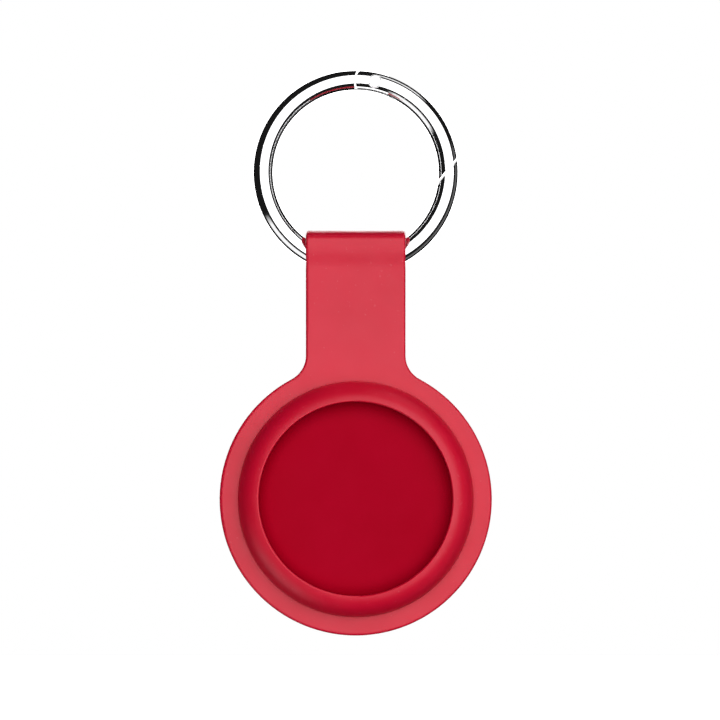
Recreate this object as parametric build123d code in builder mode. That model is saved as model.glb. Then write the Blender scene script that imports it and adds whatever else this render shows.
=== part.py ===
from build123d import *
from math import cos, radians, sin
import os

# A bluetooth tracker tag: a coin tracker in a silicone holder that hangs from a spring-gate ring.
# Millimetres. The origin is the centre of the ring, the front faces -Y and +Z is up.

# Spring-gate ring, a round wire bent to a circle in the XZ plane
RING_MEAN_R = 14.0
WIRE_R = 1.5
RING_OUTER_R = RING_MEAN_R + WIRE_R
RING_INNER_R = RING_MEAN_R - WIRE_R
PIN_ANGLE = 78.0  # ring angles run from +X towards +Z
PIN_R = 0.8
PIN_HEAD_R = 0.96
PIN_HEAD_CHAMFER = 0.1
PIN_HEAD_SEAT = 1.05  # how far behind and in front of the middle the heads sit
PIN_CLEARANCE = 0.05
GATE_END_R = 2.9  # the gate's round end, about the pin
SHOULDER_R = 3.16  # the hollow in the ring that the round end turns in
TIP_OUTER_ANGLE = 8.2
TIP_INNER_ANGLE = -6.3
TIP_GAP = 0.3
JOINT_CHAMFER = 0.08  # along the edges of the gate's two joints
LEDGE_R = 12.92  # the gate's inner edge is thinned up to here
LEDGE_HALF = 0.85
LEDGE_END_ANGLE = 67.5
TONGUE_THICKNESS = 1.2
TONGUE_R = 2.3
SLOT_THICKNESS = 1.3
SLOT_INNER_ANGLE = 62.0
SLOT_OUTER_ANGLE = 50.0
CAM_R = 1.0  # the lobe on the tongue that the plunger bears on
CAM_REACH = 1.95
CAM_ANGLE = -48.0

# Plunger and its spring, in a bore that points at the pin
BORE_ANGLE = -28.0
BORE_R = 0.55
BORE_START = 4.2  # distances from the pin along the bore
BORE_END = 9.0
PLUNGER_R = 0.5
PLUNGER_NOSE = 3.32
PLUNGER_TAIL = 6.5
STUD_R = 0.25
STUD_LENGTH = 0.8
SPRING_R = 0.38
SPRING_WIRE_R = 0.06
SPRING_PITCH = 0.3

# Silicone holder: strap, loop and round case
STRAP_WIDTH = 15.0
STRAP_TOP = -8.85
SHEET_HALF = 2.0  # half the thickness of the strap and the flange
EDGE_R = 0.45
NECK_R = 4.0
CASE_Z = -49.4
FLANGE_R = 20.45
LOOP_HALF = 3.8
LOOP_CROWN = 1.8  # the height of the round top
LOOP_BULGE_Z = -11.2  # where the loop is thickest
WAIST_HALF = 2.85  # the waist below the loop, from which the strap tapers
WAIST_Z = -15.1
WAIST_SLOPE = 0.12
WAIST_BLEND = 1.6
TAPER_END_Z = -25.0
TUNNEL_Z = -12.88
TUNNEL_R = 2.75
MOUTH_R = 0.5
FOOT_R = 17.7
LIP_R = 14.47
CREST_R = 13.6  # the lip's curve would be level here, inside its opening
CREST_Y = -6.5
LIP_EDGE_R = 0.2
BACK_R = 15.2
BACK_Y = 5.3

# Coin tracker, on an axis through the middle of the case
PUCK_R = 16.0
PUCK_HALF = 4.0
POCKET_GAP = 0.12
FACE_FLAT_R = 11.0
SIDE_FRONT_Y = -1.6
JOINT_Y = 1.0
JOINT_GAP = 0.05
COVER_WALL = 0.9
BACK_EDGE_R = 1.5
SPIGOT_R = 14.95
SPIGOT_BORE = 13.9
SPIGOT_END_Y = -0.6
GASKET_R = 14.72
GASKET_SECTION_R = 0.28
GASKET_Y = 0.55

# Battery bay and its bayonet door
WELL_R = 10.2
WELL_WALL_R = 11.2
WELL_FLOOR_Y = -0.2
WELL_UNDERSIDE_Y = -0.65
CAVITY_ROOF_Y = 0.3
SEAL_BORE_R = 11.65
SEAL_LEDGE_Y = 1.1
GROOVE_R = 12.9
GROOVE_NEAR_Y = 2.0
GROOVE_FAR_Y = 2.9
DOOR_HOLE_R = 12.15
DOOR_R = 12.05
DOOR_INNER_Y = 3.1
SKIRT_R = 11.0
SKIRT_BORE = 10.4
SKIRT_END_Y = 1.2
LUG_R = 12.8
LUG_COUNT = 3
LUG_WIDTH = 4.2
NOTCH_WIDTH = 5.0
DOOR_TURN = 30.0
COIN_SLOT = (11.0, 1.6, 0.4)
SEAL_R = 11.3
SEAL_SECTION_R = 0.28
SEAL_Y = 1.62

# Coin cell, 20 mm across and 3.2 mm thick
CELL_R = 10.0
CELL_BACK_Y = 3.05
CELL_THICKNESS = 3.2
CELL_CAP_R = 8.7
CELL_STEP = 0.3

# Circuit board and what it carries
BOARD_R = 14.0
BOARD_FRONT_Y = -1.5
BOARD_BACK_Y = -0.7
SCREW_RING_R = 12.3
SCREW_COUNT = 3
SCREW_ANGLE = 30.0
SCREW_R = 0.5
SCREW_HEAD_R = 0.85
SCREW_HEAD_HEIGHT = 0.4
SCREW_LENGTH = 1.9
BOSS_R = 1.2
BOARD_HOLE_R = 0.6
SHIELD_CENTRE = (6.2, 0.0)
SHIELD_SIZE = (8.0, 7.0, 1.0)
SHIELD_WALL = 0.12
CHIP_SIZE = (5.0, 5.0, 0.6)
CRYSTAL_CENTRE = (-1.6, -6.5)
CRYSTAL_SIZE = (2.5, 2.0, 0.6)
SENSOR_CENTRE = (-1.6, 6.5)
SENSOR_SIZE = (2.0, 2.0, 0.8)
PASSIVE_CENTRE = (-1.0, 0.0)
PASSIVE_SIZE = (1.0, 0.5, 0.5)
PASSIVE_PITCH = 1.6
PASSIVE_COLUMNS = 3
PASSIVE_ROWS = 4
ANTENNA_R = 12.7
ANTENNA_THICKNESS = 0.2
ANTENNA_HEIGHT = 1.0
ANTENNA_ARC = 80.0
ANTENNA_ANGLE = 90.0
BUZZER_PLATE_R = 8.0
BUZZER_CERAMIC_R = 6.0
BUZZER_Y = -3.05  # the glued face of the plate
BUZZER_THICKNESS = 0.2
BUZZER_RIM = 0.6
CERAMIC_SPRING_CENTRE = (-4.6, -2.0)
PLATE_SPRING_CENTRE = (-6.9, 1.5)
BUZZER_SPRING_R = 0.5
BUZZER_SPRING_WIRE_R = 0.1
BUZZER_SPRING_PITCH = 0.35
CONTACT_THICKNESS = 0.15
CONTACT_WIDTH = 3.0
NEGATIVE_LENGTH = 7.0
POSITIVE_X = 9.0
WINDOW_GROWTH = 0.6

OVER = 2.0  # how far cutting shapes run past what they cut

FRONT = Plane.XZ  # seen from the front: x to the right, y up
CASE_AXIS = Axis((0, 0, CASE_Z), (0, 1, 0))
PROFILE = Plane.XY.offset(CASE_Z)  # radius along x and depth along y, for turned pieces


def on_ring(angle, radius=RING_MEAN_R):
    """A point of the ring in the front view, by its angle."""
    return radius * cos(radians(angle)), radius * sin(radians(angle))


def from_pin(distance, angle):
    """A point in the front view, seen from the gate's pin."""
    x, z = on_ring(PIN_ANGLE)
    return x + distance * cos(radians(angle)), z + distance * sin(radians(angle))


def on_case(depth_y, centre=(0, 0)):
    """A plane across the case at a depth, facing the front, with its origin on a point of the case."""
    x, z = centre
    return Plane(origin=(x, depth_y, CASE_Z + z), x_dir=(1, 0, 0), z_dir=(0, -1, 0))


def on_bore(distance):
    """A plane across the plunger's bore at a distance from the pin, facing away from it."""
    x, z = from_pin(distance, BORE_ANGLE)
    across = (cos(radians(BORE_ANGLE)), 0, sin(radians(BORE_ANGLE)))
    return Plane(origin=(x, 0, z), x_dir=(0, 1, 0), z_dir=across)


def wire_circle(inset=0.0):
    """The whole ring of wire, in the part that is being built."""
    Torus(RING_MEAN_R, WIRE_R - inset, rotation=(90, 0, 0))


def gate_outline(end_radius, tip_gap):
    """The gate's stretch of the ring from the front: round about the pin, with a slanted tip."""
    outer = Vector(*on_ring(TIP_OUTER_ANGLE, RING_OUTER_R))
    inner = Vector(*on_ring(TIP_INNER_ANGLE, RING_INNER_R))
    along = (outer - inner).normalized()
    shift = Vector(along.Y, -along.X) * tip_gap
    with BuildLine() as sector:
        Polyline(
            on_ring(PIN_ANGLE, RING_INNER_R - OVER),
            on_ring(PIN_ANGLE, RING_OUTER_R + OVER),
            (RING_OUTER_R + OVER, RING_OUTER_R + OVER),
            outer + along * OVER + shift,
            inner - along * OVER + shift,
            close=True,
        )
    make_face(sector.edges())
    with Locations(on_ring(PIN_ANGLE)):
        Circle(end_radius)


def pin_hole(radius, near, far):
    """A round hole along the pin between two depths on both sides of the middle."""
    for side in (-1, 1):
        with BuildSketch(FRONT.offset(side * near)) as hole:
            with Locations(on_ring(PIN_ANGLE)):
                Circle(radius)
        extrude(hole.sketch, amount=side * (far - near), mode=Mode.SUBTRACT)


def coil(base, radius, wire_radius, pitch, height):
    """A coil spring that stands on a plane, in the part that is being built."""
    with BuildLine() as turns:
        Helix(pitch=pitch, height=height, radius=radius, center=base.origin, direction=base.z_dir)
    with BuildSketch(Plane(origin=turns.line @ 0, z_dir=turns.line % 0)) as section:
        Circle(wire_radius)
    sweep(section.sketch, path=turns.line, is_frenet=True)


def board_block(centre, size):
    """A rectangular component on the front of the board."""
    width, length, height = size
    with BuildSketch(on_case(BOARD_FRONT_Y, centre)) as footprint:
        Rectangle(width, length)
    extrude(footprint.sketch, amount=height)


# ---- Ring ----

with BuildPart() as tongue:
    wire_circle()
    with BuildSketch(FRONT):
        with Locations(on_ring(PIN_ANGLE)):
            Circle(TONGUE_R)
        with Locations(from_pin(CAM_REACH, CAM_ANGLE)):
            Circle(CAM_R)
        with BuildLine():
            Polyline(
                on_ring(PIN_ANGLE, RING_INNER_R - OVER),
                on_ring(PIN_ANGLE, RING_OUTER_R + OVER),
                (-OVER, RING_OUTER_R + OVER),
                (-OVER, RING_INNER_R - OVER),
                close=True,
            )
        make_face()
    extrude(amount=TONGUE_THICKNESS / 2, both=True, mode=Mode.INTERSECT)

with BuildPart() as ring_body:
    wire_circle()
    with BuildSketch(FRONT):
        gate_outline(SHOULDER_R, TIP_GAP)
    extrude(amount=WIRE_R + OVER, both=True, mode=Mode.SUBTRACT)
    chamfer(ring_body.faces().filter_by(GeomType.TORUS, reverse=True).edges(), JOINT_CHAMFER)
    add(tongue.part)
    pin_hole(PIN_R, 0, WIRE_R)
ring_body.part.label = "ring_body"

with BuildPart() as gate_pin:
    with BuildSketch(FRONT):
        with Locations(on_ring(PIN_ANGLE)):
            Circle(PIN_HEAD_R)
    extrude(amount=WIRE_R, both=True)
    chamfer(gate_pin.edges().filter_by(GeomType.CIRCLE), PIN_HEAD_CHAMFER)
    with BuildSketch(FRONT):
        with Locations(on_ring(PIN_ANGLE)):
            Circle(PIN_HEAD_R + OVER)
            Circle(PIN_R, mode=Mode.SUBTRACT)
    extrude(amount=PIN_HEAD_SEAT + PIN_CLEARANCE / 2, both=True, mode=Mode.SUBTRACT)
gate_pin.part.label = "gate_pin"

with BuildPart() as ring_gate:
    wire_circle()
    with BuildSketch(FRONT):
        gate_outline(GATE_END_R, 0)
    extrude(amount=WIRE_R, both=True, mode=Mode.INTERSECT)
    chamfer(ring_gate.faces().filter_by(GeomType.TORUS, reverse=True).edges(), JOINT_CHAMFER)
    for side in (-1, 1):
        with BuildSketch(FRONT.offset(side * LEDGE_HALF)):
            with BuildLine():
                Polyline(
                    (0, 0),
                    on_ring(LEDGE_END_ANGLE, RING_OUTER_R),
                    (-OVER, RING_OUTER_R),
                    (-OVER, 0),
                    close=True,
                )
            make_face()
            Circle(LEDGE_R, mode=Mode.INTERSECT)
        extrude(amount=side * WIRE_R, mode=Mode.SUBTRACT)
    slot_inner = Vector(*on_ring(SLOT_INNER_ANGLE, RING_INNER_R))
    slot_outer = Vector(*on_ring(SLOT_OUTER_ANGLE, RING_OUTER_R))
    slot_along = (slot_outer - slot_inner).normalized() * OVER
    with BuildSketch(FRONT):
        with BuildLine():
            Polyline(
                (-OVER, RING_INNER_R - OVER),
                slot_inner - slot_along,
                slot_outer + slot_along,
                (slot_outer.X, RING_OUTER_R + OVER),
                (-OVER, RING_OUTER_R + OVER),
                close=True,
            )
        make_face()
    extrude(amount=SLOT_THICKNESS / 2, both=True, mode=Mode.SUBTRACT)
    pin_hole(PIN_R + PIN_CLEARANCE, 0, WIRE_R)
    pin_hole(PIN_HEAD_R + PIN_CLEARANCE, PIN_HEAD_SEAT, WIRE_R)
    with BuildSketch(on_bore(BORE_START)):
        Circle(BORE_R)
    extrude(amount=BORE_END - BORE_START, mode=Mode.SUBTRACT)
ring_gate.part.label = "ring_gate"

with BuildPart() as gate_plunger:
    with BuildSketch(on_bore(PLUNGER_NOSE)):
        Circle(PLUNGER_R)
    extrude(amount=PLUNGER_TAIL - PLUNGER_NOSE)
    with Locations(on_bore(PLUNGER_NOSE)):
        Sphere(PLUNGER_R)
    with BuildSketch(on_bore(PLUNGER_TAIL)):
        Circle(STUD_R)
    extrude(amount=STUD_LENGTH)
gate_plunger.part.label = "gate_plunger"

with BuildPart() as gate_spring:
    spring_start = PLUNGER_TAIL + 2 * SPRING_WIRE_R
    coil(
        on_bore(spring_start),
        SPRING_R,
        SPRING_WIRE_R,
        SPRING_PITCH,
        BORE_END - 2 * SPRING_WIRE_R - spring_start,
    )
gate_spring.part.label = "gate_spring"

# ---- Silicone holder, one moulding ----

neck_z = CASE_Z + (FLANGE_R**2 - (STRAP_WIDTH / 2) ** 2) ** 0.5
with BuildPart() as silicone_holder:
    with BuildSketch(FRONT) as outline:
        with Locations((0, CASE_Z)):
            Circle(FLANGE_R)
        with Locations((0, CASE_Z)):
            Rectangle(STRAP_WIDTH, STRAP_TOP + OVER - CASE_Z, align=(Align.CENTER, Align.MIN))
        fillet(outline.vertices().filter_by_position(Axis.Y, neck_z - OVER, neck_z + OVER), NECK_R)
    extrude(amount=LOOP_HALF + OVER, both=True)
    with BuildSketch(Plane.YZ):
        with BuildLine() as side:
            crown_z = STRAP_TOP - LOOP_CROWN
            EllipticalCenterArc((0, crown_z), LOOP_HALF, LOOP_CROWN, start_angle=0, arc_size=90)
            Line((LOOP_HALF, crown_z), (LOOP_HALF, LOOP_BULGE_Z))
            Bezier(
                (LOOP_HALF, LOOP_BULGE_Z),
                (LOOP_HALF, LOOP_BULGE_Z - WAIST_BLEND),
                (WAIST_HALF + WAIST_SLOPE * WAIST_BLEND, WAIST_Z + WAIST_BLEND),
                (WAIST_HALF, WAIST_Z),
            )
            taper = (WAIST_Z - TAPER_END_Z) / 3
            Bezier(
                (WAIST_HALF, WAIST_Z),
                (WAIST_HALF - WAIST_SLOPE * taper, WAIST_Z - taper),
                (SHEET_HALF, TAPER_END_Z + taper),
                (SHEET_HALF, TAPER_END_Z),
            )
            Polyline(
                (SHEET_HALF, TAPER_END_Z),
                (SHEET_HALF, CASE_Z - FLANGE_R - OVER),
                (0, CASE_Z - FLANGE_R - OVER),
            )
            mirror(about=Plane.YZ)
        make_face()
    extrude(amount=FLANGE_R + OVER, both=True, mode=Mode.INTERSECT)
    rim = silicone_holder.edges().filter_by(Axis.Y, reverse=True).filter_by(Axis.X, reverse=True)
    fillet(rim, EDGE_R)

    with BuildSketch(PROFILE):
        with BuildLine():
            Polyline((CREST_R, CREST_Y), (0, CREST_Y), (0, BACK_Y), (BACK_R, BACK_Y))
            EllipticalCenterArc(
                (CREST_R, -SHEET_HALF),
                FOOT_R - CREST_R,
                -CREST_Y - SHEET_HALF,
                start_angle=270,
                arc_size=90,
            )
            Line((FOOT_R, -SHEET_HALF), (FOOT_R, SHEET_HALF))
            EllipticalCenterArc(
                (BACK_R, SHEET_HALF), FOOT_R - BACK_R, BACK_Y - SHEET_HALF, start_angle=0, arc_size=90
            )
        make_face()
    revolve(axis=CASE_AXIS)

    with BuildSketch(PROFILE):
        with BuildLine():
            Polyline(
                (FACE_FLAT_R, -PUCK_HALF - POCKET_GAP),
                (0, -PUCK_HALF - POCKET_GAP),
                (0, PUCK_HALF + POCKET_GAP),
                (PUCK_R - BACK_EDGE_R, PUCK_HALF + POCKET_GAP),
            )
            RadiusArc(
                (PUCK_R - BACK_EDGE_R, PUCK_HALF + POCKET_GAP),
                (PUCK_R + POCKET_GAP, PUCK_HALF - BACK_EDGE_R),
                BACK_EDGE_R + POCKET_GAP,
            )
            Line((PUCK_R + POCKET_GAP, PUCK_HALF - BACK_EDGE_R), (PUCK_R + POCKET_GAP, SIDE_FRONT_Y))
            EllipticalCenterArc(
                (FACE_FLAT_R, SIDE_FRONT_Y),
                PUCK_R - FACE_FLAT_R + POCKET_GAP,
                PUCK_HALF + SIDE_FRONT_Y + POCKET_GAP,
                start_angle=270,
                arc_size=90,
            )
        make_face()
    revolve(axis=CASE_AXIS, mode=Mode.SUBTRACT)

    rounded_r = LIP_R + LIP_EDGE_R
    past_crest = (rounded_r - CREST_R) / (FOOT_R - CREST_R)
    lip_y = (CREST_Y + SHEET_HALF) * (1 - past_crest**2) ** 0.5 - SHEET_HALF
    with BuildSketch(PROFILE):
        with BuildLine():
            Polyline((LIP_R, lip_y + LIP_EDGE_R), (LIP_R, 0), (0, 0), (0, CREST_Y - OVER))
            Polyline((0, CREST_Y - OVER), (rounded_r, CREST_Y - OVER), (rounded_r, lip_y))
            RadiusArc((rounded_r, lip_y), (LIP_R, lip_y + LIP_EDGE_R), LIP_EDGE_R)
        make_face()
    revolve(axis=CASE_AXIS, mode=Mode.SUBTRACT)

    mouth_x = STRAP_WIDTH / 2
    with BuildSketch(FRONT):
        with BuildLine():
            Line((0, TUNNEL_Z + TUNNEL_R), (mouth_x - MOUTH_R, TUNNEL_Z + TUNNEL_R))
            RadiusArc(
                (mouth_x - MOUTH_R, TUNNEL_Z + TUNNEL_R),
                (mouth_x, TUNNEL_Z + TUNNEL_R + MOUTH_R),
                -MOUTH_R,
            )
            Polyline(
                (mouth_x, TUNNEL_Z + TUNNEL_R + MOUTH_R),
                (mouth_x + OVER, TUNNEL_Z + TUNNEL_R + MOUTH_R),
                (mouth_x + OVER, TUNNEL_Z),
                (0, TUNNEL_Z),
            )
            mirror(about=Plane.YZ)
        make_face()
    revolve(axis=Axis((0, 0, TUNNEL_Z), (1, 0, 0)), mode=Mode.SUBTRACT)
silicone_holder.part.label = "silicone_holder"

# ---- Tracker casing ----

screw_spots = PolarLocations(SCREW_RING_R, SCREW_COUNT, start_angle=SCREW_ANGLE)

with BuildPart() as front_cover:
    with BuildSketch(PROFILE):
        with BuildLine():
            Polyline((FACE_FLAT_R, COVER_WALL - PUCK_HALF), (0, COVER_WALL - PUCK_HALF))
            Polyline((0, COVER_WALL - PUCK_HALF), (0, -PUCK_HALF), (FACE_FLAT_R, -PUCK_HALF))
            EllipticalCenterArc(
                (FACE_FLAT_R, SIDE_FRONT_Y),
                PUCK_R - FACE_FLAT_R,
                PUCK_HALF + SIDE_FRONT_Y,
                start_angle=270,
                arc_size=90,
            )
            Polyline(
                (PUCK_R, SIDE_FRONT_Y),
                (PUCK_R, JOINT_Y),
                (PUCK_R - COVER_WALL, JOINT_Y),
                (PUCK_R - COVER_WALL, SIDE_FRONT_Y),
            )
            EllipticalCenterArc(
                (FACE_FLAT_R, SIDE_FRONT_Y),
                PUCK_R - FACE_FLAT_R - COVER_WALL,
                PUCK_HALF + SIDE_FRONT_Y - COVER_WALL,
                start_angle=270,
                arc_size=90,
            )
        make_face()
    revolve(axis=CASE_AXIS)
    with BuildSketch(on_case(BOARD_FRONT_Y)):
        with screw_spots:
            Circle(BOSS_R)
    extrude(until=Until.NEXT)
    with BuildSketch(on_case(BOARD_FRONT_Y)):
        with screw_spots:
            Circle(SCREW_R)
    extrude(amount=SCREW_LENGTH - SCREW_R, mode=Mode.SUBTRACT)
    with BuildSketch(on_case(COVER_WALL - PUCK_HALF)):
        Circle(BUZZER_PLATE_R + BUZZER_RIM)
        Circle(BUZZER_PLATE_R + POCKET_GAP, mode=Mode.SUBTRACT)
    extrude(amount=-BUZZER_RIM)
front_cover.part.label = "front_cover"

with BuildPart() as shell_gasket:
    with Locations(on_case(GASKET_Y)):
        Torus(GASKET_R, GASKET_SECTION_R)
shell_gasket.part.label = "shell_gasket"

with BuildPart() as rear_shell:
    rear_joint_y = JOINT_Y + JOINT_GAP
    gasket_seat = GASKET_R - GASKET_SECTION_R - JOINT_GAP
    gasket_half = GASKET_SECTION_R + JOINT_GAP
    with BuildSketch(PROFILE):
        with BuildLine():
            Polyline(
                (PUCK_R - BACK_EDGE_R, PUCK_HALF),
                (DOOR_HOLE_R, PUCK_HALF),
                (DOOR_HOLE_R, GROOVE_FAR_Y),
                (GROOVE_R, GROOVE_FAR_Y),
                (GROOVE_R, GROOVE_NEAR_Y),
                (SEAL_BORE_R, GROOVE_NEAR_Y),
                (SEAL_BORE_R, SEAL_LEDGE_Y),
                (WELL_R, SEAL_LEDGE_Y),
                (WELL_R, WELL_FLOOR_Y),
                (0, WELL_FLOOR_Y),
                (0, WELL_UNDERSIDE_Y),
                (WELL_WALL_R, WELL_UNDERSIDE_Y),
                (WELL_WALL_R, CAVITY_ROOF_Y),
                (SPIGOT_BORE, CAVITY_ROOF_Y),
                (SPIGOT_BORE, SPIGOT_END_Y),
                (SPIGOT_R, SPIGOT_END_Y),
                (SPIGOT_R, GASKET_Y - gasket_half),
                (gasket_seat, GASKET_Y - gasket_half),
                (gasket_seat, GASKET_Y + gasket_half),
                (SPIGOT_R, GASKET_Y + gasket_half),
                (SPIGOT_R, rear_joint_y),
                (PUCK_R, rear_joint_y),
                (PUCK_R, PUCK_HALF - BACK_EDGE_R),
            )
            RadiusArc(
                (PUCK_R - BACK_EDGE_R, PUCK_HALF), (PUCK_R, PUCK_HALF - BACK_EDGE_R), BACK_EDGE_R
            )
        make_face()
    revolve(axis=CASE_AXIS)
    # entry notches for the door's lugs, in front of where the lugs come to by a full turn of the door
    with BuildSketch(on_case(PUCK_HALF + OVER)):
        with PolarLocations(DOOR_HOLE_R, LUG_COUNT, start_angle=90 - DOOR_TURN):
            Rectangle(2 * (GROOVE_R - DOOR_HOLE_R), NOTCH_WIDTH)
    extrude(amount=PUCK_HALF + OVER - GROOVE_FAR_Y, mode=Mode.SUBTRACT)
    # windows in the well's floor for the battery contacts
    with BuildSketch(on_case(WELL_FLOOR_Y)):
        Rectangle(NEGATIVE_LENGTH + WINDOW_GROWTH, CONTACT_WIDTH + WINDOW_GROWTH)
        with Locations((-POSITIVE_X, 0), (POSITIVE_X, 0)):
            Rectangle(WELL_R - POSITIVE_X + WINDOW_GROWTH, CONTACT_WIDTH + WINDOW_GROWTH)
    extrude(amount=WELL_FLOOR_Y - WELL_UNDERSIDE_Y, both=True, mode=Mode.SUBTRACT)
rear_shell.part.label = "rear_shell"

# ---- Battery door ----

with BuildPart() as battery_door:
    with BuildSketch(on_case(PUCK_HALF)):
        Circle(DOOR_R)
    extrude(amount=PUCK_HALF - DOOR_INNER_Y)
    chamfer(battery_door.edges().filter_by(GeomType.CIRCLE).sort_by(Axis.Y)[-1], EDGE_R)
    with BuildSketch(on_case(DOOR_INNER_Y)):
        Circle(SKIRT_R)
        Circle(SKIRT_BORE, mode=Mode.SUBTRACT)
    extrude(amount=DOOR_INNER_Y - SKIRT_END_Y)
    with BuildSketch(on_case(GROOVE_FAR_Y - JOINT_GAP)):
        Circle(LUG_R)
        with PolarLocations(0, LUG_COUNT, start_angle=90):
            Rectangle(LUG_R, LUG_WIDTH, align=(Align.MIN, Align.CENTER), mode=Mode.INTERSECT)
        Circle((SKIRT_R + SKIRT_BORE) / 2, mode=Mode.SUBTRACT)
    extrude(amount=GROOVE_FAR_Y - GROOVE_NEAR_Y - 2 * JOINT_GAP)
    with BuildSketch(on_case(PUCK_HALF)):
        SlotOverall(COIN_SLOT[0], COIN_SLOT[1])
    extrude(amount=COIN_SLOT[2], mode=Mode.SUBTRACT)
battery_door.part.label = "battery_door"

with BuildPart() as door_seal:
    with Locations(on_case(SEAL_Y)):
        Torus(SEAL_R, SEAL_SECTION_R)
door_seal.part.label = "door_seal"

# ---- Electronics ----

cell_front_y = CELL_BACK_Y - CELL_THICKNESS
with BuildPart() as coin_cell:
    with BuildSketch(on_case(CELL_BACK_Y)):
        Circle(CELL_R)
    extrude(amount=CELL_THICKNESS - CELL_STEP)
    fillet(coin_cell.edges().filter_by(GeomType.CIRCLE), EDGE_R)
    with BuildSketch(on_case(CELL_BACK_Y - CELL_THICKNESS / 2)):
        Circle(CELL_CAP_R)
    extrude(amount=CELL_THICKNESS / 2)
coin_cell.part.label = "coin_cell"

with BuildPart() as circuit_board:
    with BuildSketch(on_case(BOARD_BACK_Y)):
        Circle(BOARD_R)
        with screw_spots:
            Circle(BOARD_HOLE_R, mode=Mode.SUBTRACT)
    extrude(amount=BOARD_BACK_Y - BOARD_FRONT_Y)
circuit_board.part.label = "circuit_board"

with BuildPart() as pcb_screws:
    with BuildSketch(on_case(BOARD_BACK_Y)):
        with screw_spots:
            Circle(SCREW_HEAD_R)
    extrude(amount=-SCREW_HEAD_HEIGHT)
    with BuildSketch(on_case(BOARD_BACK_Y)):
        with screw_spots:
            Circle(SCREW_R)
    extrude(amount=SCREW_LENGTH)
    with BuildSketch(on_case(BOARD_BACK_Y + SCREW_HEAD_HEIGHT)):
        with screw_spots:
            Rectangle(SCREW_HEAD_R, SCREW_R / 2)
            Rectangle(SCREW_R / 2, SCREW_HEAD_R)
    extrude(amount=SCREW_HEAD_HEIGHT / 2, mode=Mode.SUBTRACT)
pcb_screws.part.label = "pcb_screws"

with BuildPart() as shield_can:
    board_block(SHIELD_CENTRE, SHIELD_SIZE)
    inside = [length - 2 * SHIELD_WALL for length in SHIELD_SIZE[:2]]
    with BuildSketch(on_case(BOARD_FRONT_Y)):
        with Locations(SHIELD_CENTRE):
            Rectangle(*inside)
    extrude(amount=SHIELD_SIZE[2] - SHIELD_WALL, mode=Mode.SUBTRACT)
shield_can.part.label = "shield_can"

with BuildPart() as radio_chip:
    board_block(SHIELD_CENTRE, CHIP_SIZE)
radio_chip.part.label = "radio_chip"

with BuildPart() as crystal:
    board_block(CRYSTAL_CENTRE, CRYSTAL_SIZE)
    chamfer(crystal.edges().filter_by(Axis.Y), EDGE_R)
crystal.part.label = "crystal"

with BuildPart() as motion_sensor:
    board_block(SENSOR_CENTRE, SENSOR_SIZE)
motion_sensor.part.label = "motion_sensor"

with BuildPart() as chip_components:
    with BuildSketch(on_case(BOARD_FRONT_Y, PASSIVE_CENTRE)):
        with GridLocations(PASSIVE_PITCH, PASSIVE_PITCH, PASSIVE_COLUMNS, PASSIVE_ROWS):
            Rectangle(PASSIVE_SIZE[0], PASSIVE_SIZE[1])
    extrude(amount=PASSIVE_SIZE[2])
chip_components.part.label = "chip_components"

with BuildPart() as antenna_strip:
    half_arc = ANTENNA_ARC / 2
    with BuildSketch(on_case(BOARD_FRONT_Y)):
        with BuildLine():
            for radius in (ANTENNA_R - ANTENNA_THICKNESS, ANTENNA_R):
                CenterArc((0, 0), radius, ANTENNA_ANGLE - half_arc, ANTENNA_ARC)
            for end in (ANTENNA_ANGLE - half_arc, ANTENNA_ANGLE + half_arc):
                Line(on_ring(end, ANTENNA_R - ANTENNA_THICKNESS), on_ring(end, ANTENNA_R))
        make_face()
    extrude(amount=ANTENNA_HEIGHT)
antenna_strip.part.label = "antenna_strip"

with BuildPart() as negative_contact:
    rise = cell_front_y - BOARD_BACK_Y
    with BuildSketch(Plane.XY.offset(CASE_Z - CONTACT_WIDTH / 2)):
        with BuildLine() as strip:
            Polyline(
                (-NEGATIVE_LENGTH / 2, BOARD_BACK_Y),
                (-NEGATIVE_LENGTH / 4, BOARD_BACK_Y),
                (NEGATIVE_LENGTH / 4, BOARD_BACK_Y + rise - CONTACT_THICKNESS),
                (NEGATIVE_LENGTH / 2, BOARD_BACK_Y + rise / 3),
                (NEGATIVE_LENGTH / 2, BOARD_BACK_Y + rise / 3 + CONTACT_THICKNESS),
                (NEGATIVE_LENGTH / 4, BOARD_BACK_Y + rise),
                (-NEGATIVE_LENGTH / 4, BOARD_BACK_Y + CONTACT_THICKNESS),
                (-NEGATIVE_LENGTH / 2, BOARD_BACK_Y + CONTACT_THICKNESS),
                close=True,
            )
        make_face()
    extrude(amount=CONTACT_WIDTH)
negative_contact.part.label = "negative_contact"

with BuildPart() as positive_contacts:
    step_y = cell_front_y + CELL_STEP
    for side in (-1, 1):
        foot_x = side * POSITIVE_X
        with BuildSketch(Plane.XY.offset(CASE_Z - CONTACT_WIDTH / 2)):
            with BuildLine():
                Polyline(
                    (foot_x - side * WINDOW_GROWTH / 4, BOARD_BACK_Y),
                    (foot_x + side * WINDOW_GROWTH, BOARD_BACK_Y),
                    (foot_x + side * WINDOW_GROWTH, BOARD_BACK_Y + CONTACT_THICKNESS),
                    (foot_x + side * CONTACT_THICKNESS, BOARD_BACK_Y + CONTACT_THICKNESS),
                    (foot_x + side * WINDOW_GROWTH, step_y),
                    (foot_x + side * (WINDOW_GROWTH - CONTACT_THICKNESS), step_y),
                    (foot_x - side * WINDOW_GROWTH / 4, BOARD_BACK_Y + CONTACT_THICKNESS),
                    close=True,
                )
            make_face()
        extrude(amount=CONTACT_WIDTH)
positive_contacts.part.label = "positive_contacts"

# ---- Buzzer, glued inside the front cover ----

with BuildPart() as buzzer_plate:
    with BuildSketch(on_case(BUZZER_Y)):
        Circle(BUZZER_PLATE_R)
    extrude(amount=-BUZZER_THICKNESS)
buzzer_plate.part.label = "buzzer_plate"

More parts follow.
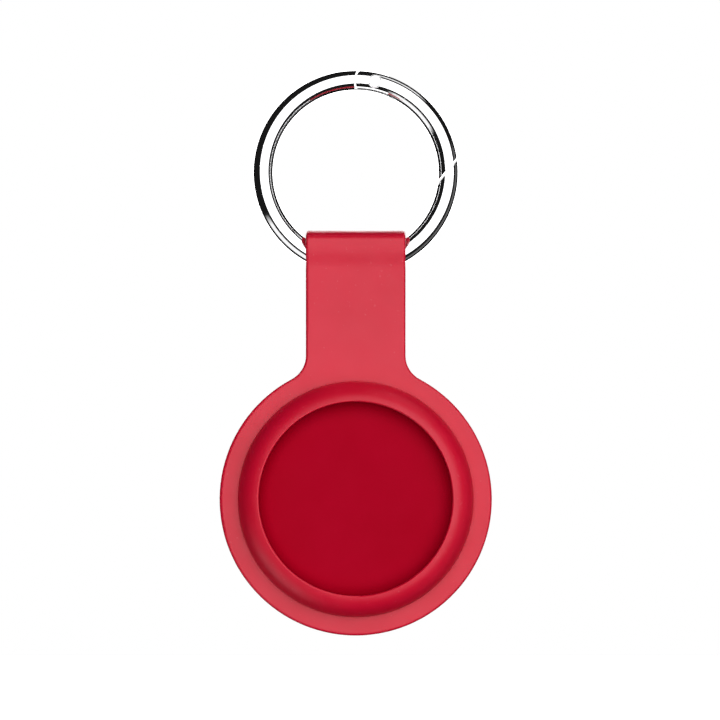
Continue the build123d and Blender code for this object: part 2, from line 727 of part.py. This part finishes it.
with BuildPart() as buzzer_ceramic:
    with BuildSketch(on_case(BUZZER_Y + BUZZER_THICKNESS)):
        Circle(BUZZER_CERAMIC_R)
    extrude(amount=-BUZZER_THICKNESS)
buzzer_ceramic.part.label = "buzzer_ceramic"

with BuildPart() as buzzer_springs:
    plate_back_y = BUZZER_Y + BUZZER_THICKNESS
    for spot, rest_y in (
        (CERAMIC_SPRING_CENTRE, plate_back_y + BUZZER_THICKNESS),
        (PLATE_SPRING_CENTRE, plate_back_y),
    ):
        coil(
            on_case(BOARD_FRONT_Y - BUZZER_SPRING_WIRE_R, spot),
            BUZZER_SPRING_R,
            BUZZER_SPRING_WIRE_R,
            BUZZER_SPRING_PITCH,
            BOARD_FRONT_Y - rest_y - 2 * BUZZER_SPRING_WIRE_R,
        )
buzzer_springs.part.label = "buzzer_springs"

os.makedirs("parts", exist_ok=True)
for piece in (
    ring_body,
    gate_pin,
    ring_gate,
    gate_plunger,
    gate_spring,
    silicone_holder,
    front_cover,
    shell_gasket,
    rear_shell,
    battery_door,
    door_seal,
    coin_cell,
    circuit_board,
    pcb_screws,
    shield_can,
    radio_chip,
    crystal,
    motion_sensor,
    chip_components,
    antenna_strip,
    negative_contact,
    positive_contacts,
    buzzer_plate,
    buzzer_ceramic,
    buzzer_springs,
):
    export_step(piece.part, f"parts/{piece.part.label}.step")
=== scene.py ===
import bpy
import math
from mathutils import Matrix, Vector


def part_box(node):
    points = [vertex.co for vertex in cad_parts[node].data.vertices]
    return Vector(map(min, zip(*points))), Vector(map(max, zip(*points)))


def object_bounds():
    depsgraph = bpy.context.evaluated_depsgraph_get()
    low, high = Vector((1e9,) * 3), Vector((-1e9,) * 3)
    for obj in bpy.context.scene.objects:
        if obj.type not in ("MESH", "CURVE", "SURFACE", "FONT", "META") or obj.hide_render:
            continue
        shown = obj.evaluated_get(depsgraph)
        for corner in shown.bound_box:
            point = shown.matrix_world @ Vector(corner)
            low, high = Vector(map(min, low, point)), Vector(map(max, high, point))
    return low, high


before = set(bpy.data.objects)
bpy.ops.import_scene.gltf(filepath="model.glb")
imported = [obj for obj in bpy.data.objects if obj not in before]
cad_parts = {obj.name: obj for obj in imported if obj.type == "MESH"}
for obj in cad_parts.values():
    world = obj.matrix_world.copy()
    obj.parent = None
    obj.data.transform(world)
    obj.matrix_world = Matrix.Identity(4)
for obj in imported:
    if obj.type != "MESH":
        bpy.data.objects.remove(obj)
cad_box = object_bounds()

MM = 0.001
CASE_LOW, CASE_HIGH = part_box("front_cover")
CASE_CENTRE = (CASE_LOW + CASE_HIGH) / 2  # on the tracker's axis

# What the camera frames
VIEW_WIDTH = 108.6 * MM
VIEW_CENTRE = Vector((0.65 * MM, 0.0, -28.4 * MM))
LENS = 200.0
SENSOR = 36.0

CAMERA_UP = -3.0  # degrees: the camera looks up a little

FLOOR_DROP = 90 * MM
FLOOR_SIZE = 8.0
FLOOR_WHITE = (0.9, 0.9, 0.9, 1)

# Softboxes: (degrees right of the front, degrees up), radius in degrees, brightness
SOFTBOXES = (((14, 6), 49, 2.45), ((180, 5), 30, 4.6))
SOFTBOX_EDGE = 1.5  # degrees over which a softbox fades out
# Light strips: from and to in degrees off the front, then from and to in degrees anticlockwise from
# the right, then brightness
STRIPS = ((57, 104, -156, -117, 1.3), (81, 97, 52, 78, 1.3), (86, 112, -60, 20, 0.14))
STRIP_EDGE_ACROSS = 0.04  # how softly a strip ends, as a share of the front-to-back axis
STRIP_EDGE_ALONG = 0.06  # the same round the clock, in radians
ROOM_LEVEL = 0.012

# Colours in linear light, darker and lighter where a material clouds between two
SILICONE_REDS = ((0.606, 0.0010, 0.0250), (0.651, 0.0018, 0.0300))
SILICONE_DUST = (0.80, 0.30, 0.32)
# The tracker's crimsons are darker than its plastic: painted shade of the holder's recess, on top of the
# plastic's own tone
TRACKER_CRIMSONS_DARKENED_AS_PAINTED_SHADE = ((0.354, 0.0, 0.0120), (0.376, 0.0002, 0.0145))
CHROMES = ((0.90, 0.90, 0.91), (0.955, 0.955, 0.96))
RUBBERS = ((0.016, 0.016, 0.017), (0.055, 0.055, 0.058))
BOARD_GREENS = ((0.008, 0.085, 0.034), (0.012, 0.115, 0.045))
BOARD_TRACE = (0.030, 0.210, 0.085)
PACKAGE_BLACKS = ((0.018, 0.018, 0.020), (0.038, 0.038, 0.040))
PIN_STEEL = (0.93, 0.93, 0.94)
DOOR_STEEL = (0.66, 0.66, 0.67)
PLUNGER_STEEL = (0.62, 0.62, 0.63)
SPRING_STEEL = (0.55, 0.55, 0.57)
NICKEL = (0.74, 0.73, 0.70)
TIN = (0.70, 0.70, 0.68)
GOLD = (0.86, 0.66, 0.32)
BRASS = (0.83, 0.62, 0.30)
CHIP_TAN = (0.42, 0.31, 0.20)
SILVERING = (0.80, 0.79, 0.76)


# ---- Node helpers ----


def add(tree, kind, **values):
    """A node, with its settings and its inputs set by name (spaces written as underscores)."""
    made = tree.nodes.new(kind)
    for key, value in values.items():
        if hasattr(made, key):
            setattr(made, key, value)
        else:
            made.inputs[key.replace("_", " ")].default_value = value
    return made


def blank_material(name, **shader_values):
    """A material with a Principled shader, as (material, tree, shader, object coordinates)."""
    material = bpy.data.materials.new(name)
    material.use_nodes = True
    tree = material.node_tree
    tree.nodes.clear()
    shader = tree.nodes.new("ShaderNodeBsdfPrincipled")
    for key, value in shader_values.items():
        shader.inputs[key.replace("_", " ")].default_value = value
    output = tree.nodes.new("ShaderNodeOutputMaterial")
    tree.links.new(shader.outputs["BSDF"], output.inputs["Surface"])
    coordinates = tree.nodes.new("ShaderNodeTexCoord").outputs["Object"]
    return material, tree, shader, coordinates


def noise(tree, coordinates, size, detail=3.0, stretch=(1, 1, 1)):
    """Noise from 0 to 1 whose features are about size metres across, drawn out by stretch."""
    mapping = add(tree, "ShaderNodeMapping", Scale=[1 / (size * s) for s in stretch])
    tree.links.new(coordinates, mapping.inputs["Vector"])
    made = add(tree, "ShaderNodeTexNoise", Scale=1.0, Detail=detail)
    tree.links.new(mapping.outputs["Vector"], made.inputs["Vector"])
    return made.outputs["Fac"]


def spread(tree, value, low, high, start=0.3, stop=0.7):
    """value, taken from start..stop to low..high."""
    made = add(tree, "ShaderNodeMapRange", From_Min=start, From_Max=stop, To_Min=low, To_Max=high)
    tree.links.new(value, made.inputs["Value"])
    return made.outputs["Result"]


def colours(tree, value, tones, start=0.3, stop=0.7):
    """A colour that goes from the first tone to the second as value goes from start to stop."""
    made = tree.nodes.new("ShaderNodeValToRGB")
    for element, place, tone in zip(made.color_ramp.elements, (start, stop), tones):
        element.position = place
        element.color = (*tone, 1)
    tree.links.new(value, made.inputs["Fac"])
    return made.outputs["Color"]


def darker(tone, share):
    """The tone, with each channel brought down to share of itself."""
    return [share * channel for channel in tone]


def mix_colours(tree, amount, below, above):
    """Colour or socket below, with above laid over it by amount."""
    made = add(tree, "ShaderNodeMix", data_type="RGBA")
    for socket, value in (("Factor", amount), ("A", below), ("B", above)):
        wanted = [i for i in made.inputs if i.name == socket and i.enabled][0]
        if isinstance(value, bpy.types.NodeSocket):
            tree.links.new(value, wanted)
        else:
            wanted.default_value = value if socket == "Factor" else (*value, 1)
    return [o for o in made.outputs if o.enabled][0]


def bump(tree, height, depth, strength=1.0, below=None):
    """A bump of depth metres from a height of 0 to 1, on top of the bump below."""
    made = add(tree, "ShaderNodeBump", Strength=strength, Distance=depth)
    tree.links.new(height, made.inputs["Height"])
    if below is not None:
        tree.links.new(below, made.inputs["Normal"])
    return made.outputs["Normal"]


def math_node(tree, operation, first, second=0.0):
    """One arithmetic step on sockets or numbers."""
    made = add(tree, "ShaderNodeMath", operation=operation)
    for place, value in enumerate((first, second)):
        if isinstance(value, bpy.types.NodeSocket):
            tree.links.new(value, made.inputs[place])
        else:
            made.inputs[place].default_value = value
    return made.outputs[0]


def distance_from_axis(tree, coordinates, centre):
    """Radius in metres from an axis along Y through centre."""
    shift = add(tree, "ShaderNodeMapping", Location=(-centre.x, 0, -centre.z), Scale=(1, 0, 1))
    tree.links.new(coordinates, shift.inputs["Vector"])
    made = add(tree, "ShaderNodeVectorMath", operation="LENGTH")
    tree.links.new(shift.outputs["Vector"], made.inputs[0])
    return made.outputs["Value"]


def finish_material(tree, shader, colour=None, roughness=None, normal=None):
    """Links what varies over the surface to the shader."""
    for socket, value in (("Base Color", colour), ("Roughness", roughness), ("Normal", normal)):
        if value is not None:
            tree.links.new(value, shader.inputs[socket])


# ---- Materials ----


def silicone():
    """Matte red moulded silicone: fine spark-eroded grain, faint flow marks, dust and a parting line."""
    material, tree, shader, at = blank_material(
        "silicone_red",
        Specular_IOR_Level=0.44,
        Subsurface_Weight=0.10,
        Subsurface_Radius=(1.0, 0.18, 0.15),
        Subsurface_Scale=0.7 * MM,
    )
    flow = noise(tree, at, 9 * MM, detail=2)
    colour = colours(tree, flow, SILICONE_REDS)
    specks = spread(tree, noise(tree, at, 0.5 * MM, detail=1), 0, 0.10, 0.70, 0.78)
    colour = mix_colours(tree, specks, colour, SILICONE_DUST)
    roughness = spread(tree, noise(tree, at, 2.5 * MM, detail=4), 0.36, 0.44)
    grain = bump(tree, noise(tree, at, 0.16 * MM, detail=2), 0.006 * MM)
    waves = bump(tree, noise(tree, at, 6 * MM, detail=1), 0.06 * MM, below=grain)
    # The mould's halves meet half way through the thickness, where Y is 0
    place = tree.nodes.new("ShaderNodeSeparateXYZ")
    tree.links.new(at, place.inputs["Vector"])
    from_middle = math_node(tree, "ABSOLUTE", place.outputs["Y"])
    ridge = spread(tree, from_middle, 1, 0, 0.03 * MM, 0.16 * MM)
    finish_material(tree, shader, colour, roughness, bump(tree, ridge, 0.05 * MM, below=waves))
    return material


def casing_plastic_painted_shade():
    """Satin crimson plastic of the tracker, its colour darkened all over as painted shade of the
    holder's recess, with a fine spark texture and hairline handling marks.
    """
    material, tree, shader, at = blank_material("tracker_crimson_painted_shade", Specular_IOR_Level=0.02)
    cloud = noise(tree, at, 7 * MM, detail=2)
    # Cloudy crimson tone, darkened throughout as painted shade of the recess
    colour = colours(tree, cloud, TRACKER_CRIMSONS_DARKENED_AS_PAINTED_SHADE)
    smudge = noise(tree, at, 4 * MM, detail=5)
    hairs = noise(tree, at, 0.12 * MM, detail=1, stretch=(1, 8, 40))
    roughness = math_node(
        tree, "ADD", spread(tree, smudge, 0.40, 0.52), spread(tree, hairs, 0.0, 0.10, 0.60, 0.75)
    )
    grain = bump(tree, noise(tree, at, 0.10 * MM, detail=2), 0.004 * MM)
    marks = bump(tree, hairs, 0.002 * MM, below=grain)
    finish_material(tree, shader, colour, roughness, marks)
    return material


def chrome():
    """Polished chrome plate: near mirror, with polishing haze, fingerprints and tiny pits."""
    material, tree, shader, at = blank_material("chrome_plate", Metallic=1.0)
    haze = noise(tree, at, 5 * MM, detail=4)
    colour = colours(tree, haze, CHROMES, 0.25, 0.75)
    polish = noise(tree, at, 0.25 * MM, detail=2, stretch=(1, 6, 1))
    roughness = math_node(
        tree, "ADD", spread(tree, haze, 0.035, 0.075), spread(tree, polish, 0.0, 0.025)
    )
    pits = spread(tree, noise(tree, at, 0.3 * MM, detail=0), 0, 1, 0.74, 0.80)
    normal = bump(tree, pits, 0.003 * MM, below=bump(tree, polish, 0.0006 * MM))
    finish_material(tree, shader, colour, roughness, normal)
    return material


def turned_steel(name, tone, roughness_range, centre):
    """Steel with the fine rings that a lathe leaves about an axis along Y."""
    material, tree, shader, at = blank_material(name, Metallic=1.0)
    radius = distance_from_axis(tree, at, centre)
    rings = add(tree, "ShaderNodeTexNoise", noise_dimensions="1D", Scale=1.0, Detail=3.0)
    tree.links.new(math_node(tree, "MULTIPLY", radius, 1 / (0.09 * MM)), rings.inputs["W"])
    cloud = noise(tree, at, 3 * MM, detail=4)
    colour = colours(tree, cloud, (darker(tone, 0.82), tone))
    roughness = math_node(
        tree, "ADD", spread(tree, cloud, *roughness_range), spread(tree, rings.outputs["Fac"], 0, 0.10)
    )
    finish_material(tree, shader, colour, roughness, bump(tree, rings.outputs["Fac"], 0.0025 * MM))
    return material


def drawn_metal(name, tone, roughness_range, grain_size=0.2 * MM):
    """Rolled or drawn metal: streaks along one way, clouded tone and small stains."""
    material, tree, shader, at = blank_material(name, Metallic=1.0)
    streaks = noise(tree, at, grain_size, detail=2, stretch=(6, 1, 1))
    stains = noise(tree, at, 2.2 * MM, detail=4)
    colour = colours(tree, stains, (darker(tone, 0.74), tone), 0.28, 0.6)
    roughness = math_node(
        tree, "ADD", spread(tree, stains, *roughness_range), spread(tree, streaks, 0, 0.08)
    )
    finish_material(tree, shader, colour, roughness, bump(tree, streaks, 0.002 * MM))
    return material


def seal_rubber():
    """Black seal rubber with bloom."""
    material, tree, shader, at = blank_material("seal_rubber", Specular_IOR_Level=0.4)
    bloom = noise(tree, at, 0.9 * MM, detail=5)
    colour = colours(tree, bloom, RUBBERS, 0.35, 0.75)
    roughness = spread(tree, bloom, 0.55, 0.8)
    finish_material(tree, shader, colour, roughness, bump(tree, bloom, 0.004 * MM))
    return material


def board_laminate():
    """Circuit board: green mask over copper, with traces that show through and a woven glass core."""
    material, tree, shader, at = blank_material("circuit_board_green", Specular_IOR_Level=0.5)
    turn = add(tree, "ShaderNodeMapping", Rotation=(math.radians(90), 0, 0), Scale=[1 / MM] * 3)
    tree.links.new(at, turn.inputs["Vector"])
    traces = add(tree, "ShaderNodeTexBrick", Scale=0.9, Mortar_Size=0.09, Mortar_Smooth=0.1)
    tree.links.new(turn.outputs["Vector"], traces.inputs["Vector"])
    cloud = noise(tree, at, 2 * MM, detail=3)
    mask = colours(tree, cloud, BOARD_GREENS)
    colour = mix_colours(tree, traces.outputs["Fac"], mask, BOARD_TRACE)
    weave = noise(tree, at, 0.3 * MM, detail=1, stretch=(3, 1, 1))
    normal = bump(tree, traces.outputs["Fac"], 0.02 * MM, below=bump(tree, weave, 0.003 * MM))
    finish_material(tree, shader, colour, spread(tree, cloud, 0.24, 0.36), normal)
    return material


def chip_package():
    """Black moulded package with a sandy face."""
    material, tree, shader, at = blank_material("chip_package", Specular_IOR_Level=0.35)
    sand = noise(tree, at, 0.07 * MM, detail=2)
    colour = colours(tree, sand, PACKAGE_BLACKS)
    finish_material(tree, shader, colour, spread(tree, sand, 0.5, 0.7), bump(tree, sand, 0.005 * MM))
    return material


def ceramic(name, tone, roughness_range):
    """Fired ceramic with speckle and a slight orange peel."""
    material, tree, shader, at = blank_material(name, Specular_IOR_Level=0.5)
    speckle = noise(tree, at, 0.15 * MM, detail=4)
    colour = colours(tree, speckle, (darker(tone, 0.7), tone), 0.35, 0.65)
    normal = bump(tree, noise(tree, at, 0.5 * MM, detail=1), 0.006 * MM)
    finish_material(tree, shader, colour, spread(tree, speckle, *roughness_range), normal)
    return material


def dress_nodes():
    """Gives every carried-over CAD node its material."""
    pin = sum(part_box("gate_pin"), Vector()) / 2
    looks = {
        silicone(): ["silicone_holder"],
        casing_plastic_painted_shade(): ["front_cover", "rear_shell"],
        chrome(): ["ring_body", "ring_gate"],
        turned_steel("pin_steel", PIN_STEEL, (0.05, 0.12), pin): ["gate_pin"],
        turned_steel("door_steel", DOOR_STEEL, (0.22, 0.34), CASE_CENTRE): ["battery_door"],
        turned_steel("cell_nickel", NICKEL, (0.16, 0.28), CASE_CENTRE): ["coin_cell"],
        drawn_metal("plunger_steel", PLUNGER_STEEL, (0.18, 0.30)): ["gate_plunger", "pcb_screws"],
        drawn_metal("spring_wire", SPRING_STEEL, (0.20, 0.34), 0.05 * MM): ["gate_spring"],
        seal_rubber(): ["shell_gasket", "door_seal"],
        board_laminate(): ["circuit_board"],
        drawn_metal("tinned_sheet", TIN, (0.24, 0.38)): ["shield_can", "crystal"],
        drawn_metal("gold_plate", GOLD, (0.18, 0.30)): [
            "antenna_strip",
            "negative_contact",
            "positive_contacts",
            "buzzer_springs",
        ],
        chip_package(): ["radio_chip", "motion_sensor"],
        ceramic("chip_ceramic", CHIP_TAN, (0.35, 0.5)): ["chip_components"],
        turned_steel("buzzer_brass", BRASS, (0.22, 0.36), CASE_CENTRE): ["buzzer_plate"],
        ceramic("buzzer_silvered", SILVERING, (0.30, 0.46)): ["buzzer_ceramic"],
    }
    for material, names in looks.items():
        for name in names:
            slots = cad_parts[name].data.materials
            slots.clear()
            slots.append(material)


# ---- Studio ----


def within(tree, value, low, high, soft):
    """1 where value lies from low to high, and 0 outside, with soft edges."""
    rise = spread(tree, value, 0, 1, low - soft, low + soft)
    fall = spread(tree, value, 1, 0, high - soft, high + soft)
    return math_node(tree, "MULTIPLY", rise, fall)


def towards(right_degrees, up_degrees):
    """A unit vector from the tag, by its angles from straight in front."""
    right, up = math.radians(right_degrees), math.radians(up_degrees)
    return Vector((math.sin(right) * math.cos(up), -math.cos(right) * math.cos(up), math.sin(up)))


def softbox(tree, direction, centre, radius):
    """1 inside a round patch of the sky about centre, of a radius in degrees."""
    made = add(tree, "ShaderNodeVectorMath", operation="DOT_PRODUCT")
    tree.links.new(direction, made.inputs[0])
    made.inputs[1].default_value = centre
    inner, outer = (math.cos(math.radians(radius + side * SOFTBOX_EDGE)) for side in (-1, 1))
    return spread(tree, made.outputs["Value"], 0, 1, outer, inner)


def studio_world():
    """A white room for the camera. What lights the tag is a round softbox in front and a little to the
    upper right, two bright strips and a dim one beside it, and a smaller softbox behind."""
    world = bpy.data.worlds.new("studio")
    world.use_nodes = True
    tree = world.node_tree
    tree.nodes.clear()
    direction = tree.nodes.new("ShaderNodeTexCoord").outputs["Generated"]
    separate = tree.nodes.new("ShaderNodeSeparateXYZ")
    tree.links.new(direction, separate.inputs["Vector"])
    clock = math_node(tree, "ARCTAN2", separate.outputs["Z"], separate.outputs["X"])
    depth = separate.outputs["Y"]

    light = ROOM_LEVEL
    for low, high, first, last, level in STRIPS:
        strip = math_node(
            tree,
            "MULTIPLY",
            within(tree, depth, *(-math.cos(math.radians(a)) for a in (low, high)), STRIP_EDGE_ACROSS),
            within(tree, clock, math.radians(first), math.radians(last), STRIP_EDGE_ALONG),
        )
        light = math_node(tree, "ADD", light, math_node(tree, "MULTIPLY", strip, level))
    for centre, radius, level in SOFTBOXES:
        patch = softbox(tree, direction, towards(*centre), radius)
        light = math_node(tree, "ADD", light, math_node(tree, "MULTIPLY", patch, level))

    room = tree.nodes.new("ShaderNodeBackground")
    tree.links.new(light, room.inputs["Strength"])
    backdrop = add(tree, "ShaderNodeBackground", Color=(1, 1, 1, 1), Strength=1.0)
    seen = tree.nodes.new("ShaderNodeLightPath").outputs["Is Camera Ray"]
    choose = tree.nodes.new("ShaderNodeMixShader")
    output = tree.nodes.new("ShaderNodeOutputWorld")
    tree.links.new(seen, choose.inputs[0])
    tree.links.new(room.outputs[0], choose.inputs[1])
    tree.links.new(backdrop.outputs[0], choose.inputs[2])
    tree.links.new(choose.outputs[0], output.inputs["Surface"])
    bpy.context.scene.world = world


def studio_floor():
    """A pale, evenly lit floor well below the hanging tag."""
    bpy.ops.mesh.primitive_plane_add(size=FLOOR_SIZE, location=(0, 0, cad_box[0][2] - FLOOR_DROP))
    floor = bpy.context.object
    floor.name = "studio_floor"
    glow = {"Emission_Color": (1, 1, 1, 1), "Emission_Strength": 1.0}
    floor.data.materials.append(blank_material("floor_white", Base_Color=FLOOR_WHITE, **glow)[0])
    floor.visible_diffuse = False
    floor.visible_glossy = False


def place_camera():
    """Straight in front of the tag, far off with a long lens."""
    data = bpy.data.cameras.new("camera")
    data.lens = LENS
    data.sensor_width = SENSOR
    camera = bpy.data.objects.new("camera", data)
    camera.location = VIEW_CENTRE + towards(0, CAMERA_UP) * VIEW_WIDTH * LENS / SENSOR
    camera.rotation_euler = (math.radians(90 - CAMERA_UP), 0, 0)
    bpy.context.scene.collection.objects.link(camera)
    bpy.context.scene.camera = camera


dress_nodes()
studio_world()
studio_floor()
place_camera()
bpy.context.scene.view_settings.view_transform = "Standard"
